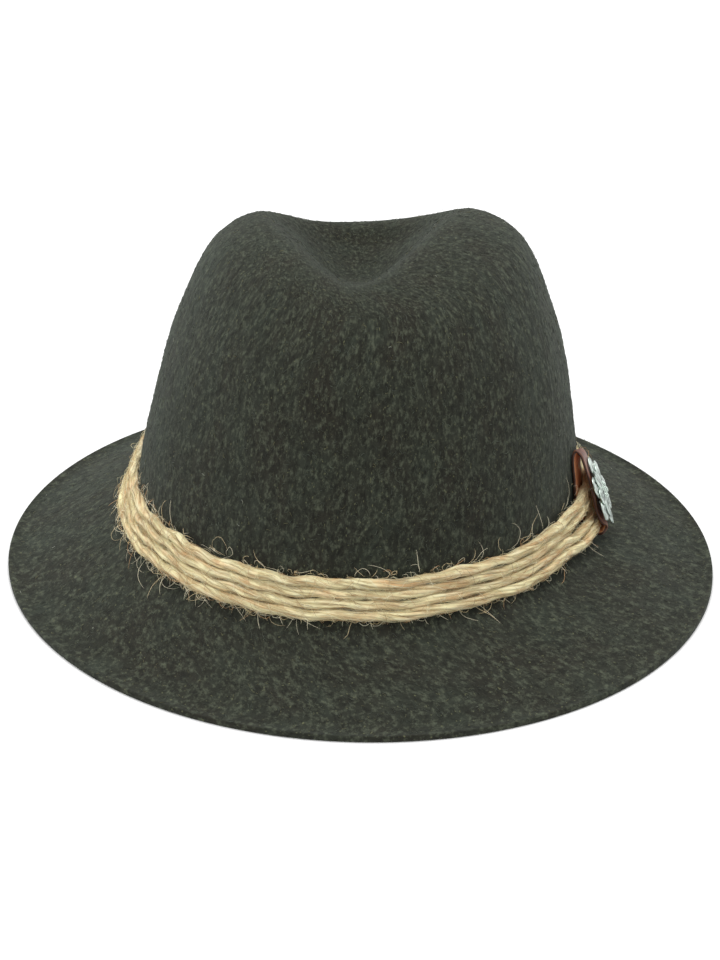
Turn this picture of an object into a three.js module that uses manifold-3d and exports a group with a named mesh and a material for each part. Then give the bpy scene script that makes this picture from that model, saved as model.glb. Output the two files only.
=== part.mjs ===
// Tyrolean hat of one-piece wool felt, with a band of fibre cords, a leather sleeve and a metal flower.
// Millimetres, +Z up. The front faces -Y, the wearer's left is +X, and the brim's edge lies on z = 0.
import * as THREE from 'three';
import { mergeVertices } from 'three/addons/utils/BufferGeometryUtils.js';
import Module from 'manifold-3d';

const wasm = await Module();
wasm.setup();

const UP = new THREE.Vector3(0, 0, 1);
const degrees = THREE.MathUtils.degToRad;

// Felt: the crown is measured outside at its foot, and the brim from there to its edge
const feltThickness = 2.2;
const crownWidth = 168;
const crownLength = 204;
const crownHeight = 109.5;
const crownLean = 5;
const dentDepth = 28.7;
const dentCentre = 5;
const dentTurn = degrees(-4.2);
const brimSideWidth = 44.5;
const brimFrontWidth = 49.7;
const brimDrop = 20;
const brimTurn = degrees(6.6);
const meridians = 56;
const stepsPerRing = 2;

// Cord band
const strandCount = 4;
const cordDiameter = 3.4;
const cordGap = 0.25;
const cordSides = 8;

// Leather sleeve, which holds the cords apart in two pairs
const sleeveAngle = degrees(76.5);
const sleeveSlant = degrees(18);
const sleeveLength = 19;
const sleeveTop = 29;
const sleeveSag = 8;
const archRise = 1.6;
const sleeveSlack = 0.9;
const mouthStand = 1.2;
const leatherThickness = 1;
const leatherGap = 0.3;
const sleevePinch = 0.8;
const pairSpread = 2.4;
const pairDrop = 2;
const gatherAngle = degrees(15);
const dropAngle = degrees(60);
const gatherHold = 1.2;
const sleeveStations = 6;
const sleeveSides = 28;

// Metal flower
const pinDiameter = 27;
const pinHeight = 3.2;
const pinAngle = degrees(74.5);
const pinRise = 3.9;
const pinLean = degrees(2.5);
const pinGap = 0.4;
const postDiameter = 1.8;
const postReach = 1.2;
const petalCount = 6;
const petalShare = 0.36;
const beadDiameter = 2.4;

// Brim rings from the edge inwards: how far out they lie and how high they rise, as shares of the
// brim's width and drop, and their share of the brim's turn
const brimRows = [
  { out: 1.00, rise: 0.000, turn: 1.0 },
  { out: 0.91, rise: 0.000, turn: 1.0 },
  { out: 0.80, rise: 0.075, turn: 1.0 },
  { out: 0.42, rise: 0.434, turn: 0.5 },
  { out: 0.10, rise: 0.775, turn: 0.0 },
  { out: 0.00, rise: 1.000, turn: 0.0 },
];

// Crown rings upwards: half-width, front and back as shares of the half sizes at the foot, the
// narrowing towards the front, the share of the lean, and heights as shares of the crown's height
const crownRows = [
  { width: 0.958, front: 0.968, back: 0.985, taper: 0.00, lean: 0.08,
    zFront: 0.080, zSide: 0.080, zBack: 0.075 },
  { width: 0.935, front: 0.951, back: 0.980, taper: 0.00, lean: 0.24,
    zFront: 0.217, zSide: 0.217, zBack: 0.199 },
  { width: 0.873, front: 0.902, back: 0.941, taper: 0.00, lean: 0.65,
    zFront: 0.491, zSide: 0.473, zBack: 0.418 },
  { width: 0.797, front: 0.843, back: 0.863, taper: 0.02, lean: 0.84,
    zFront: 0.729, zSide: 0.674, zBack: 0.583 },
  { width: 0.631, front: 0.720, back: 0.725, taper: 0.08, lean: 1.00,
    zFront: 0.884, zSide: 0.923, zBack: 0.711 },
];

// The ridge round the dent, in the same shares; it is turned with the dent
const ridgeRow = {
  width: 0.406, front: 0.580, back: 0.513, taper: 0.26, lean: 0.40,
  zFront: 0.940, zSide: 1.000, zBack: 0.807,
};

// Dent rings inwards: plan sizes as shares of the ridge ring, depths below it as shares of the dent's
const dentRows = [
  { plan: 0.66, front: 0.72, back: 0.78, deepFront: 0.174, deepSide: 0.31, deepBack: 0.21 },
  { plan: 0.30, front: 0.34, back: 0.40, deepFront: 0.418, deepSide: 0.82, deepBack: 0.37 },
];

// The flower's petal layers: reach and width as shares of its radius, height in petal thicknesses,
// and the turn as a share of the angle between two petals
const petalLayers = [
  { reach: 1.00, width: 0.62, height: 0.5, turn: 0.0 },
  { reach: 0.74, width: 0.46, height: 1.2, turn: 0.5 },
];

function brimRing(row) {
  const z = feltThickness + row.rise * brimDrop;
  return {
    halfWidth: crownWidth / 2 + row.out * brimSideWidth,
    front: crownLength / 2 + row.out * brimFrontWidth,
    back: crownLength / 2 + row.out * brimFrontWidth,
    zFront: z,
    zSide: z,
    zBack: z,
    taper: 0,
    shift: 0,
    turn: row.turn * brimTurn,
  };
}

function crownRing(row) {
  const foot = feltThickness + brimDrop;
  return {
    halfWidth: row.width * crownWidth / 2,
    front: row.front * crownLength / 2,
    back: row.back * crownLength / 2,
    zFront: foot + row.zFront * crownHeight,
    zSide: foot + row.zSide * crownHeight,
    zBack: foot + row.zBack * crownHeight,
    taper: row.taper,
    shift: row.lean * crownLean,
    turn: 0,
  };
}

function dentRing(row, ridge) {
  return {
    ...ridge,
    halfWidth: row.plan * ridge.halfWidth,
    front: row.front * ridge.front,
    back: row.back * ridge.back,
    zFront: ridge.zFront - row.deepFront * dentDepth,
    zSide: ridge.zSide - row.deepSide * dentDepth,
    zBack: ridge.zBack - row.deepBack * dentDepth,
  };
}

// The felt's outer surface: rings from the brim's edge to the dent's deepest point
const ridgeRing = { ...crownRing(ridgeRow), turn: dentTurn };
const rings = [
  ...brimRows.map(brimRing),
  ...crownRows.map(crownRing),
  ridgeRing,
  ...dentRows.map((row) => dentRing(row, ridgeRing)),
];
const footPlace = brimRows.length - 1;
const flatPlace = brimRows.filter((row) => row.rise === 0).length - 1;
const dentFloor = new THREE.Vector3(ridgeRing.shift, dentCentre, ridgeRing.zSide - dentDepth);

// A ring's point at an angle from the front, counted towards the wearer's left
function ringPoint(ring, angle) {
  const cosine = Math.cos(angle);
  const tilt = (ring.zFront - ring.zBack) / 2;
  const saddle = ((ring.zFront + ring.zBack) / 2 - ring.zSide) / 2;
  const point = new THREE.Vector3(
    ring.halfWidth * Math.sin(angle) * (1 - ring.taper * cosine),
    (ring.back - ring.front) / 2 - (ring.back + ring.front) / 2 * cosine,
    ring.zSide + saddle + tilt * cosine + saddle * Math.cos(2 * angle),
  );
  point.applyAxisAngle(UP, ring.turn);
  point.x += ring.shift;
  return point;
}

// The felt's profile at an angle, from the brim's edge over the crown and just past the dent's floor
function meridianAt(angle) {
  const points = rings.map((ring) => ringPoint(ring, angle));
  points.push(dentFloor.clone());
  points.push(ringPoint(rings[rings.length - 1], angle + Math.PI));
  return new THREE.CatmullRomCurve3(points);
}

// A point of the outer surface; place counts rings from the brim's edge, with fractions between them
function feltPoint(angle, place) {
  return meridianAt(angle).getPoint(place / (rings.length + 1));
}

const nudge = 0.02;

function feltNormal(angle, place) {
  const around = feltPoint(angle + nudge, place).sub(feltPoint(angle - nudge, place));
  const low = Math.max(place - nudge, 0);
  const along = feltPoint(angle, place + nudge).sub(feltPoint(angle, low));
  return around.cross(along).normalize();
}

// The felt's inner surface, pressed flat under the brim's level rings, where it lies on the ground
function innerPoint(angle, place) {
  const point = feltPoint(angle, place).addScaledVector(feltNormal(angle, place), -feltThickness);
  point.z = place <= flatPlace ? 0 : Math.max(point.z, 0);
  return point;
}

// A closed body from numbered corners
function bodyGeometry(points, triangles) {
  const geometry = new THREE.BufferGeometry();
  const positions = points.flatMap((point) => [point.x, point.y, point.z]);
  geometry.setAttribute('position', new THREE.Float32BufferAttribute(positions, 3));
  geometry.setIndex(triangles);
  geometry.computeVertexNormals();
  return geometry;
}

function addQuad(triangles, a, b, c, d) {
  triangles.push(a, b, c, a, c, d);
}

function feltBody() {
  const places = rings.flatMap((ring, row) => {
    const steps = row <= flatPlace ? 1 : stepsPerRing;
    return Array.from({ length: steps }, (_, step) => row + step / steps);
  });
  const points = [];
  for (const surface of [feltPoint, innerPoint]) {
    for (const place of places) {
      for (let j = 0; j < meridians; j += 1) {
        points.push(surface(2 * Math.PI * j / meridians, place));
      }
    }
  }
  const innerStart = places.length * meridians;
  const outerPole = points.length;
  const innerPole = outerPole + 1;
  points.push(dentFloor.clone());
  points.push(dentFloor.clone().addScaledVector(UP, -feltThickness));

  const triangles = [];
  const last = (places.length - 1) * meridians;
  for (let j = 0; j < meridians; j += 1) {
    const next = (j + 1) % meridians;
    for (let i = 0; i < places.length - 1; i += 1) {
      const low = i * meridians;
      const high = low + meridians;
      addQuad(triangles, low + j, low + next, high + next, high + j);
      addQuad(triangles, innerStart + low + next, innerStart + low + j,
        innerStart + high + j, innerStart + high + next);
    }
    addQuad(triangles, innerStart + j, innerStart + next, next, j);
    triangles.push(last + j, last + next, outerPole);
    triangles.push(innerStart + last + next, innerStart + last + j, innerPole);
  }
  return bodyGeometry(points, triangles);
}

// How far an angle lies from the sleeve's middle, and how strongly the sleeve gathers the cords there
function angleFromSleeve(angle) {
  const turn = THREE.MathUtils.euclideanModulo(angle - sleeveAngle + Math.PI, 2 * Math.PI);
  return Math.abs(turn - Math.PI);
}

const footRadius = feltPoint(sleeveAngle, footPlace).setZ(0).length();
const sleeveHalfAngle = sleeveLength / 2 / footRadius;

function gatherAt(angle, fadeAngle = gatherAngle) {
  const past = (angleFromSleeve(angle) - gatherHold * sleeveHalfAngle) / fadeAngle;
  return 0.5 + 0.5 * Math.cos(Math.PI * THREE.MathUtils.clamp(past, 0, 1));
}

// How far the sleeve holds the cords down, which fades slowly behind it
function dropAt(angle) {
  return pairDrop * gatherAt(angle, Math.sin(angle - sleeveAngle) > 0 ? dropAngle : gatherAngle);
}

// A line up the crown's foot at one angle, a fixed distance off the felt, in rings below and above it
const ringsBelow = 1.5;
const ringsAbove = 3;
const lineSteps = 180;
const footOnLine = ringsBelow / (ringsBelow + ringsAbove);

function lineOffFelt(angle, distance) {
  return Array.from({ length: lineSteps + 1 }, (_, i) => {
    const place = footPlace - ringsBelow + (ringsBelow + ringsAbove) * i / lineSteps;
    return feltPoint(angle, place).addScaledVector(feltNormal(angle, place), distance);
  });
}

// Walks along a line from a place, in steps of its points, until it is a distance away
function walk(line, from, distance) {
  const start = pointOnLine(line, from);
  const step = Math.sign(distance);
  let at = step > 0 ? Math.ceil(from) : Math.floor(from);
  while (line[at + step] && line[at].distanceTo(start) < Math.abs(distance)) {
    at += step;
  }
  const beyond = line[at].distanceTo(start);
  const before = line[at - step].distanceTo(start);
  return at - step * (beyond - Math.abs(distance)) / (beyond - before);
}

function pointOnLine(line, at) {
  const low = Math.min(Math.floor(at), line.length - 2);
  return line[low].clone().lerp(line[low + 1], at - low);
}

// The centres of the strands at one angle, from the lowest to the highest
function strandCentres(angle) {
  const gather = gatherAt(angle);
  const offFelt = cordDiameter / 2 + cordGap + gather * (leatherThickness + leatherGap);
  const line = lineOffFelt(angle, offFelt);
  let at = (line.length - 1) * footOnLine;
  const drop = dropAt(angle);
  if (drop > 0) {
    at = walk(line, at, -drop);
  }
  const centres = [pointOnLine(line, at)];
  for (let strand = 1; strand < strandCount; strand += 1) {
    const spread = strand === strandCount / 2 ? gather * pairSpread : 0;
    at = walk(line, at, cordDiameter + cordGap + spread);
    centres.push(pointOnLine(line, at));
  }
  return centres;
}

const centresByAngle = Array.from({ length: meridians }, (_, j) =>
  strandCentres(2 * Math.PI * j / meridians));

function cordStrand(strand) {
  const centres = centresByAngle.map((group) => group[strand]);
  const points = [];
  centres.forEach((centre, j) => {
    const next = centres[(j + 1) % meridians];
    const previous = centres[(j + meridians - 1) % meridians];
    const along = next.clone().sub(previous).normalize();
    const out = along.clone().cross(UP).normalize();
    const over = out.clone().cross(along);
    for (let k = 0; k < cordSides; k += 1) {
      const turn = 2 * Math.PI * (k + 0.5) / cordSides;
      points.push(centre.clone()
        .addScaledVector(out, Math.cos(turn) * cordDiameter / 2)
        .addScaledVector(over, Math.sin(turn) * cordDiameter / 2));
    }
  });
  const triangles = [];
  for (let j = 0; j < meridians; j += 1) {
    const here = j * cordSides;
    const there = ((j + 1) % meridians) * cordSides;
    for (let k = 0; k < cordSides; k += 1) {
      const up = (k + 1) % cordSides;
      addQuad(triangles, here + k, there + k, there + up, here + up);
    }
  }
  return bodyGeometry(points, triangles);
}

// The upright plane across the band at one angle: x away from the crown's foot, y up
function bandPlane(angle) {
  const foot = feltPoint(angle, footPlace).setZ(0);
  const out = feltNormal(angle, footPlace).setZ(0).normalize();
  const flat = (point) => new THREE.Vector2(point.clone().sub(foot).dot(out), point.z);
  const inSpace = (point) => foot.clone().addScaledVector(out, point.x).addScaledVector(UP, point.y);
  return { out, flat, inSpace, centres: strandCentres(angle).map(flat) };
}

// The way up the sleeve's slanting face in that plane, and the way off it
const faceUp = new THREE.Vector2(-Math.sin(sleeveSlant), Math.cos(sleeveSlant));
const faceOff = new THREE.Vector2(Math.cos(sleeveSlant), Math.sin(sleeveSlant));

// How far off the plane's corner the cords reach, measured square to the face
function cordsReach(centres) {
  return Math.max(...centres.map((centre) => centre.dot(faceOff))) + cordDiameter / 2;
}

function onFace(height, distance) {
  return faceUp.clone().multiplyScalar(height).addScaledVector(faceOff, distance);
}

// An angle's place along the sleeve, from 0 at its front mouth to 1 at its back end, and how far the
// face stands off the cords there
function placeInSleeve(angle) {
  return ((angle - sleeveAngle) / sleeveHalfAngle + 1) / 2;
}

function standAt(angle) {
  return mouthStand * (1 - placeInSleeve(angle));
}

// The leather's way under the lowest strand, from the face to where it meets the felt again
function sleeveHem(lowest, backLine, wrap, face) {
  const touch = backLine.reduce((best, point) =>
    (point.distanceTo(lowest) < best.distanceTo(lowest) ? point : best));
  const end = touch.clone().sub(lowest).angle() - 2 * Math.PI;
  const slack = face - wrap - lowest.dot(faceOff);
  return [0, 0.25, 0.5, 0.75, 1].map((share) => {
    const turn = THREE.MathUtils.lerp(sleeveSlant, end, share);
    const round = new THREE.Vector2(Math.cos(turn), Math.sin(turn)).multiplyScalar(wrap);
    return lowest.clone().add(round).addScaledVector(faceOff, slack * (1 - share));
  });
}

// The middle of the leather's thickness at one angle, as a closed line round the cords: the front
// mouth stands open, and above the cords the face is pressed towards the crown at the back
function sleeveLine(angle) {
  const { flat, inSpace, centres } = bandPlane(angle);
  const toBack = placeInSleeve(angle);
  const slack = sleeveSlack * (2 * toBack - 1) ** 2;
  const off = leatherGap + leatherThickness / 2;
  const wrap = cordDiameter / 2 + off;
  const face = cordsReach(centres) + off + standAt(angle);
  const backLine = lineOffFelt(angle, off).map(flat);
  const onBack = (height) => backLine.reduce((best, point) =>
    (Math.abs(point.y - height) < Math.abs(best.y - height) ? point : best));

  const heights = centres.map((centre) => centre.dot(faceUp));
  const highest = heights[strandCount - 1];
  const between = (heights[strandCount / 2 - 1] + heights[strandCount / 2]) / 2;
  const foot = feltPoint(angle, footPlace).z;
  const backTop = onBack(foot + sleeveTop - archRise - sleeveSag * toBack);
  const faceTop = onFace(backTop.dot(faceUp), face);
  const pressed = (point, strength) => {
    const back = onBack(point.y);
    const away = point.clone().sub(back);
    const closed = leatherThickness + 2 * leatherGap;
    return back.clone().addScaledVector(away, THREE.MathUtils.lerp(1, closed / away.length(), strength));
  };
  const line = [
    onBack(centres[1].y),
    onBack(centres[strandCount - 1].y),
    onBack((centres[strandCount - 1].y + backTop.y) / 2),
    backTop,
    backTop.clone().lerp(pressed(faceTop, toBack), 0.5).addScaledVector(faceUp, archRise),
    pressed(faceTop, toBack),
    pressed(onFace((highest + faceTop.dot(faceUp)) / 2, face), toBack / 2),
    onFace(highest, face),
    onFace(between, face - sleevePinch),
    onFace(heights[0] + cordDiameter / 2, face),
    ...sleeveHem(centres[0], backLine, wrap, face + slack),
  ];
  return new THREE.CatmullRomCurve3(line.map(inSpace), true);
}

function leatherSleeve() {
  const steps = sleeveSides;
  const points = [];
  for (let station = 0; station < sleeveStations; station += 1) {
    const share = 2 * station / (sleeveStations - 1) - 1;
    const angle = sleeveAngle + share * sleeveHalfAngle;
    const line = sleeveLine(angle);
    const sideways = UP.clone().cross(bandPlane(angle).out);
    for (const side of [1, -1]) {
      for (let k = 0; k < steps; k += 1) {
        const away = line.getTangent(k / steps).cross(sideways).normalize();
        points.push(line.getPoint(k / steps).addScaledVector(away, side * leatherThickness / 2));
      }
    }
  }
  const triangles = [];
  const loop = 2 * steps;
  const finish = (sleeveStations - 1) * loop;
  for (let k = 0; k < steps; k += 1) {
    const next = (k + 1) % steps;
    for (let station = 0; station < sleeveStations - 1; station += 1) {
      const here = station * loop;
      const there = here + loop;
      addQuad(triangles, here + k, here + next, there + next, there + k);
      addQuad(triangles, here + steps + next, here + steps + k, there + steps + k, there + steps + next);
    }
    addQuad(triangles, next, k, steps + k, steps + next);
    addQuad(triangles, finish + k, finish + next, finish + steps + next, finish + steps + k);
  }
  return bodyGeometry(points, triangles);
}

// Where the flower sits: its back plane just off the leather, y up the sleeve's face and z off it,
// with its top leant towards the crown
function pinFrame() {
  const { out, inSpace, centres } = bandPlane(pinAngle);
  const distance = cordsReach(centres) + leatherGap + leatherThickness + standAt(pinAngle) + pinGap;
  const origin = inSpace(onFace(pinMiddle(centres), distance));
  const upward = out.clone().multiplyScalar(faceUp.x).addScaledVector(UP, faceUp.y);
  const outward = out.clone().multiplyScalar(faceOff.x).addScaledVector(UP, faceOff.y);
  const sideways = upward.clone().cross(outward);
  const frame = new THREE.Matrix4().makeBasis(sideways, upward, outward).setPosition(origin);
  frame.multiply(new THREE.Matrix4().makeRotationX(-pinLean));
  return frame.multiply(new THREE.Matrix4().makeRotationY(Math.atan2(mouthStand, sleeveLength)));
}

function pinMiddle(centres) {
  return (centres[0].dot(faceUp) + centres[strandCount - 1].dot(faceUp)) / 2 + pinRise;
}

// How far below the flower's middle its post passes between the two pairs of cords
function postDrop() {
  const { centres } = bandPlane(pinAngle);
  const between = centres[strandCount / 2 - 1].clone().lerp(centres[strandCount / 2], 0.5);
  return pinMiddle(centres) - between.dot(faceUp);
}

// Joins and cuts
function toSolid(geometry) {
  const bare = geometry.clone();
  bare.deleteAttribute('normal');
  bare.deleteAttribute('uv');
  const merged = mergeVertices(bare);
  return new wasm.Manifold(new wasm.Mesh({
    numProp: 3,
    vertProperties: new Float32Array(merged.attributes.position.array),
    triVerts: new Uint32Array(merged.index.array),
  }));
}

function fromSolid(solid) {
  const mesh = solid.getMesh();
  const geometry = new THREE.BufferGeometry();
  geometry.setAttribute('position', new THREE.Float32BufferAttribute(mesh.vertProperties, 3));
  geometry.setIndex(new THREE.Uint32BufferAttribute(mesh.triVerts, 1));
  geometry.computeVertexNormals();
  return geometry;
}

function joined(geometries) {
  return geometries.map(toSolid).reduce((whole, piece) => whole.add(piece));
}

// A petal that points along +Y, thin at its tip and with its ends on the flower's rings
function petal(reach, width, thickness, height, turn) {
  const geometry = new THREE.SphereGeometry(1, 8, 6);
  geometry.scale(width / 2, reach / 2, thickness / 2);
  geometry.translate(0, reach / 2, height);
  geometry.rotateZ(turn);
  return geometry;
}

function bead(diameter, x, y, z) {
  const geometry = new THREE.SphereGeometry(diameter / 2, 8, 6);
  geometry.translate(x, y, z);
  return geometry;
}

function uprightCylinder(diameter, low, high, sides) {
  const geometry = new THREE.CylinderGeometry(diameter / 2, diameter / 2, high - low, sides);
  geometry.rotateX(Math.PI / 2);
  geometry.translate(0, 0, (low + high) / 2);
  return geometry;
}

function pinPost(clearance) {
  const low = -pinGap - leatherThickness - sleevePinch - postReach;
  const post = uprightCylinder(postDiameter + 2 * clearance, low, pinHeight / 4, 12);
  return post.translate(0, -postDrop(), 0);
}

function edelweissPin() {
  const pieces = [];
  const thickness = petalShare * pinHeight;
  const radius = pinDiameter / 2;
  const ring = 2 * Math.PI / petalCount;
  for (let k = 0; k < petalCount; k += 1) {
    for (const { reach, width, height, turn } of petalLayers) {
      pieces.push(petal(reach * radius, width * radius, thickness, height * thickness, (k + turn) * ring));
    }
    const x = beadDiameter * Math.sin(k * ring);
    const y = beadDiameter * Math.cos(k * ring);
    pieces.push(bead(beadDiameter, x, y, pinHeight - beadDiameter * 0.7));
  }
  pieces.push(uprightCylinder(2.6 * beadDiameter, thickness * 0.4, thickness * 1.6, 12));
  pieces.push(bead(beadDiameter * 1.2, 0, 0, pinHeight - beadDiameter * 0.6));
  pieces.push(pinPost(0));
  return fromSolid(joined(pieces));
}

// The sleeve with the hole that the flower's post goes through
function boredSleeve() {
  const hole = pinPost(leatherGap).applyMatrix4(pinFrame());
  return fromSolid(toSolid(leatherSleeve()).subtract(toSolid(hole)));
}

const feltMaterial = new THREE.MeshStandardMaterial({ color: 0x373c34, roughness: 1, metalness: 0 });
const cordMaterial = new THREE.MeshStandardMaterial({ color: 0xd8c396, roughness: 0.9, metalness: 0 });
const leatherMaterial = new THREE.MeshStandardMaterial({ color: 0x96644b, roughness: 0.6, metalness: 0 });
const pinMaterial = new THREE.MeshStandardMaterial({ color: 0x97afa5, roughness: 0.35, metalness: 0.9 });

function addPiece(parent, name, geometry, material) {
  const mesh = new THREE.Mesh(geometry, material);
  mesh.name = name;
  parent.add(mesh);
  return mesh;
}

const hat = new THREE.Group();
addPiece(hat, 'felt_body', feltBody(), feltMaterial);
for (let strand = 0; strand < strandCount; strand += 1) {
  addPiece(hat, `cord_strand_${strand + 1}`, cordStrand(strand), cordMaterial);
}
addPiece(hat, 'leather_sleeve', boredSleeve(), leatherMaterial);

const pinSeat = new THREE.Group();
pinSeat.applyMatrix4(pinFrame());
addPiece(pinSeat, 'edelweiss_pin', edelweissPin(), pinMaterial);
hat.add(pinSeat);

export default hat;
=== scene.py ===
"""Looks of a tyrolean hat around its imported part: felt, fibre cords, a leather sleeve, a metal flower.

Metres, +Z up. The front faces -Y and the wearer's left is +X. Angles count from the front towards
the wearer's left. A place counts the felt's rings from the brim's edge over the crown into the dent.
"""

import math

import bpy
import numpy as np
from mathutils import Matrix, Vector


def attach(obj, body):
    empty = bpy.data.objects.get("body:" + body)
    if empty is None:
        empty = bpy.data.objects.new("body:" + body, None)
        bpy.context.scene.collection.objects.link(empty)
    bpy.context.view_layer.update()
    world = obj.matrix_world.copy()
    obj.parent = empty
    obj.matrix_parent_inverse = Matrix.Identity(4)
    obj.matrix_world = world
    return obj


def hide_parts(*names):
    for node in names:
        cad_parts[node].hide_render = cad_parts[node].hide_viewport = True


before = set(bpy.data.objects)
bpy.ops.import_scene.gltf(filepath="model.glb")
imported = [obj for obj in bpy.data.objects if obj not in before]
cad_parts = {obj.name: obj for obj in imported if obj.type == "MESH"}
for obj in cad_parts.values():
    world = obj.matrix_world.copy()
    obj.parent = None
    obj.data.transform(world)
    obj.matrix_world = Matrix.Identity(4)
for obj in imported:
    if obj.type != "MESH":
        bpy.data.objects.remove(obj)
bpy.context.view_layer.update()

MM = 0.001
FULL_TURN = 2 * math.pi
UP = np.array([0.0, 0.0, 1.0])

# Felt
FELT_THICKNESS = 2.2 * MM
CROWN_WIDTH = 168 * MM
CROWN_LENGTH = 204 * MM
CROWN_HEIGHT = 109.5 * MM
CROWN_LEAN = 5 * MM
DENT_DEPTH = 28.7 * MM
DENT_CENTRE = 5 * MM
DENT_TURN = math.radians(-4.2)
BRIM_SIDE_WIDTH = 44.5 * MM
BRIM_FRONT_WIDTH = 49.7 * MM
BRIM_DROP = 20 * MM
BRIM_TURN = math.radians(6.6)

# Cords
STRAND_COUNT = 4
CORD_DIAMETER = 3.4 * MM
CORD_GAP = 0.25 * MM

# Leather sleeve
SLEEVE_ANGLE = math.radians(76.5)
SLEEVE_SLANT = math.radians(18)
SLEEVE_LENGTH = 19 * MM
SLEEVE_TOP = 29 * MM
SLEEVE_SAG = 8 * MM
ARCH_RISE = 1.6 * MM
SLEEVE_SLACK = 0.9 * MM
MOUTH_STAND = 1.2 * MM
LEATHER_THICKNESS = 1 * MM
LEATHER_GAP = 0.3 * MM
SLEEVE_PINCH = 0.8 * MM
PAIR_SPREAD = 2.4 * MM
PAIR_DROP = 2 * MM
GATHER_ANGLE = math.radians(15)
DROP_ANGLE = math.radians(60)
GATHER_HOLD = 1.2

# Metal flower
PIN_DIAMETER = 27 * MM
PIN_HEIGHT = 3.2 * MM
PIN_ANGLE = math.radians(74.5)
PIN_RISE = 3.9 * MM
PIN_LEAN = math.radians(2.5)
PIN_GAP = 0.4 * MM
POST_DIAMETER = 1.8 * MM
POST_REACH = 1.2 * MM
PETAL_COUNT = 6
BEAD_DIAMETER = 2.4 * MM

# Brim rings inwards: out and rise as shares of the brim's width and drop, and the share of its turn
BRIM_ROWS = [
    (1.00, 0.000, 1.0),
    (0.91, 0.000, 1.0),
    (0.80, 0.075, 1.0),
    (0.42, 0.434, 0.5),
    (0.10, 0.775, 0.0),
    (0.00, 1.000, 0.0),
]

# Crown rings upwards, the last one the ridge round the dent: half-width, front, back, taper, lean,
# then the heights at the front, the sides and the back as shares of the crown's height
CROWN_ROWS = [
    (0.958, 0.968, 0.985, 0.00, 0.08, 0.080, 0.080, 0.075),
    (0.935, 0.951, 0.980, 0.00, 0.24, 0.217, 0.217, 0.199),
    (0.873, 0.902, 0.941, 0.00, 0.65, 0.491, 0.473, 0.418),
    (0.797, 0.843, 0.863, 0.02, 0.84, 0.729, 0.674, 0.583),
    (0.631, 0.720, 0.725, 0.08, 1.00, 0.884, 0.923, 0.711),
    (0.406, 0.580, 0.513, 0.26, 0.40, 0.940, 1.000, 0.807),
]

# Dent rings inwards: plan, front and back as shares of the ridge ring's, then the depths below it
# at the front, the sides and the back as shares of the dent's
DENT_ROWS = [
    (0.66, 0.72, 0.78, 0.174, 0.31, 0.21),
    (0.30, 0.34, 0.40, 0.418, 0.82, 0.37),
]

FOOT_PLACE = len(BRIM_ROWS) - 1
FLAT_PLACE = 1
POLE_PLACE = len(BRIM_ROWS) + len(CROWN_ROWS) + len(DENT_ROWS)


# Camera: the photo's view of the hat's middle, in pixels of its 720 by 960 frame
VIEW_HEIGHT = 45 * MM
VIEW_DISTANCE = 1.2
VIEW_ELEVATION = math.radians(22.41)
VIEW_TURN = math.radians(3.31)
VIEW_ROLL = math.radians(0.79)
FOCAL_PIXELS = 3293.7
PHOTO_SIZE = (720, 960)
MIDDLE_PIXEL = (356.5, 440.3)
SENSOR = 36


def unit(vectors):
    """Vectors at length one."""
    return vectors / np.maximum(np.linalg.norm(vectors, axis=-1, keepdims=True), 1e-12)


def turned(turn, first, second):
    """Ways turned from a first one towards a second one that is square to it."""
    return np.cos(turn)[..., None] * first + np.sin(turn)[..., None] * second


def make_camera():
    """The camera looks down at the front of the hat, slightly from its right."""
    level = VIEW_DISTANCE * math.cos(VIEW_ELEVATION)
    middle = np.array([0, 0, VIEW_HEIGHT])
    away = np.array([
        -level * math.sin(VIEW_TURN),
        -level * math.cos(VIEW_TURN),
        VIEW_DISTANCE * math.sin(VIEW_ELEVATION),
    ])
    forward = unit(-away)
    right = unit(np.cross(forward, UP))
    upward = np.cross(right, forward)
    rolled_right = turned(-VIEW_ROLL, right, upward)
    rolled_up = turned(VIEW_ROLL, upward, right)
    sideways = (PHOTO_SIZE[0] / 2 - MIDDLE_PIXEL[0]) / FOCAL_PIXELS
    down = (PHOTO_SIZE[1] / 2 - MIDDLE_PIXEL[1]) / FOCAL_PIXELS
    forward = unit(forward + sideways * rolled_right - down * rolled_up)
    right = unit(rolled_right - forward * (rolled_right @ forward))
    upward = np.cross(right, forward)
    data = bpy.data.cameras.new("camera")
    data.sensor_width = SENSOR
    data.lens = FOCAL_PIXELS / max(PHOTO_SIZE) * SENSOR
    camera = bpy.data.objects.new("camera", data)
    turn = Matrix((right, upward, -forward)).transposed().to_4x4()
    camera.matrix_world = Matrix.Translation(Vector(middle + away)) @ turn
    bpy.context.scene.collection.objects.link(camera)
    bpy.context.scene.camera = camera


make_camera()


# Felt surface
def brim_ring(out, rise, turn):
    """One ring of the brim: half-width, front, back, three heights, taper, shift and turn."""
    z = FELT_THICKNESS + rise * BRIM_DROP
    length = CROWN_LENGTH / 2 + out * BRIM_FRONT_WIDTH
    return (CROWN_WIDTH / 2 + out * BRIM_SIDE_WIDTH, length, length, z, z, z, 0, 0, turn * BRIM_TURN)


def crown_ring(width, front, back, taper, lean, z_front, z_side, z_back):
    """One ring of the crown, in the same columns."""
    foot = FELT_THICKNESS + BRIM_DROP
    heights = (foot + share * CROWN_HEIGHT for share in (z_front, z_side, z_back))
    half = CROWN_LENGTH / 2
    return (width * CROWN_WIDTH / 2, front * half, back * half, *heights, taper, lean * CROWN_LEAN, 0)


def dent_ring(ridge, plan, front, back, *depths):
    """One ring of the dent, inside the ridge."""
    half_width, ridge_front, ridge_back, *heights, taper, shift, turn = ridge
    lowered = (height - depth * DENT_DEPTH for height, depth in zip(heights, depths))
    return (plan * half_width, front * ridge_front, back * ridge_back, *lowered, taper, shift, turn)


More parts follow.
